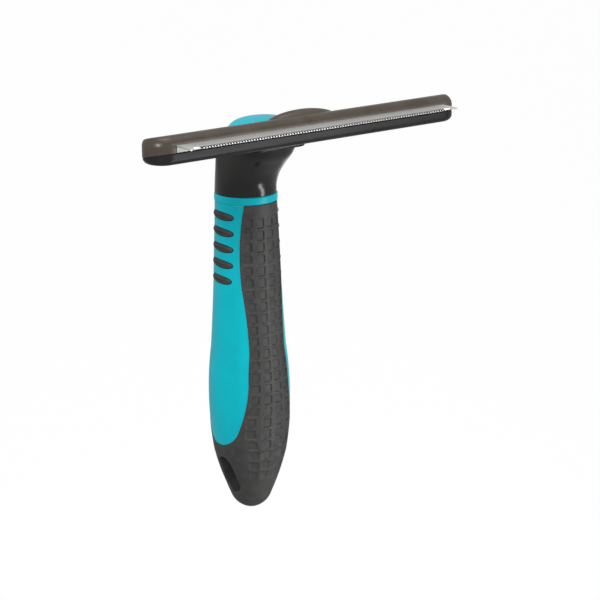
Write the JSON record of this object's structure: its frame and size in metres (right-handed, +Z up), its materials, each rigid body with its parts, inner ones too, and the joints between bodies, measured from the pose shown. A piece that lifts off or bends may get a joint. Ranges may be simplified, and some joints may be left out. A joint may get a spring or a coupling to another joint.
{
  "type": "undercoat rake",
  "caption": "T-shaped undercoat rake: fine-toothed steel blade in a round-ended bar, soft grip with a hang hole, and a thumb button that pushes out a fur-eject strip.",
  "frame": {"origin": "centre of the round lower end of the hang hole, on the mid-plane, where a peg sits", "axes": "+X along the blade bar and the hang hole's axis, -Y the way the teeth point (the working side), +Z up the handle from the hang hole to the head"},
  "size_m": [0.1416, 0.0717, 0.1708],
  "materials": {
    "teal_shell": "satin gloss teal",
    "teal_button": "gloss teal",
    "grip_rubber": "matte dark grey, soft",
    "neck_gloss": "glossy dark grey",
    "head_gloss": "glossy dark grey-brown",
    "blade_steel": "satin stainless steel",
    "strip_steel": "satin",
    "carriage_plastic": "moulded black",
    "hardware_steel": "zinc plated",
    "spring_steel": "drawn wire"
  },
  "bodies": {
    "tool": {"handle_core": "teal_shell", "collar_ring": "teal_shell", "grip_sleeve": "grip_rubber", "neck": "neck_gloss", "head_body": "head_gloss", "bar_cover": "head_gloss", "blade": "blade_steel", "neck_pin": "hardware_steel", "guide_rod_left": "hardware_steel", "guide_rod_right": "hardware_steel", "return_spring_left": "spring_steel", "return_spring_right": "spring_steel", "head_screws": "hardware_steel", "neck_screws": "hardware_steel", "left_grip_rib_1": "grip_rubber", "left_grip_rib_2": "grip_rubber", "left_grip_rib_3": "grip_rubber", "left_grip_rib_4": "grip_rubber", "left_grip_rib_5": "grip_rubber", "right_grip_rib_1": "grip_rubber", "right_grip_rib_2": "grip_rubber", "right_grip_rib_3": "grip_rubber", "right_grip_rib_4": "grip_rubber", "right_grip_rib_5": "grip_rubber"},
    "ejector": {"eject_button": "teal_button", "ejector_carriage": "carriage_plastic", "ejector_strip": "strip_steel", "strip_rivets": "hardware_steel"}
  },
  "joints": [
    {"name": "eject_slide", "type": "slide", "parent": "tool", "child": "ejector", "axis": [0, -1, 0], "range_m": [0, 0.0075], "stiffness_N_per_m": 300, "springref_m": -0.004, "deforming": ["return_spring_left", "return_spring_right"]}
  ]
}
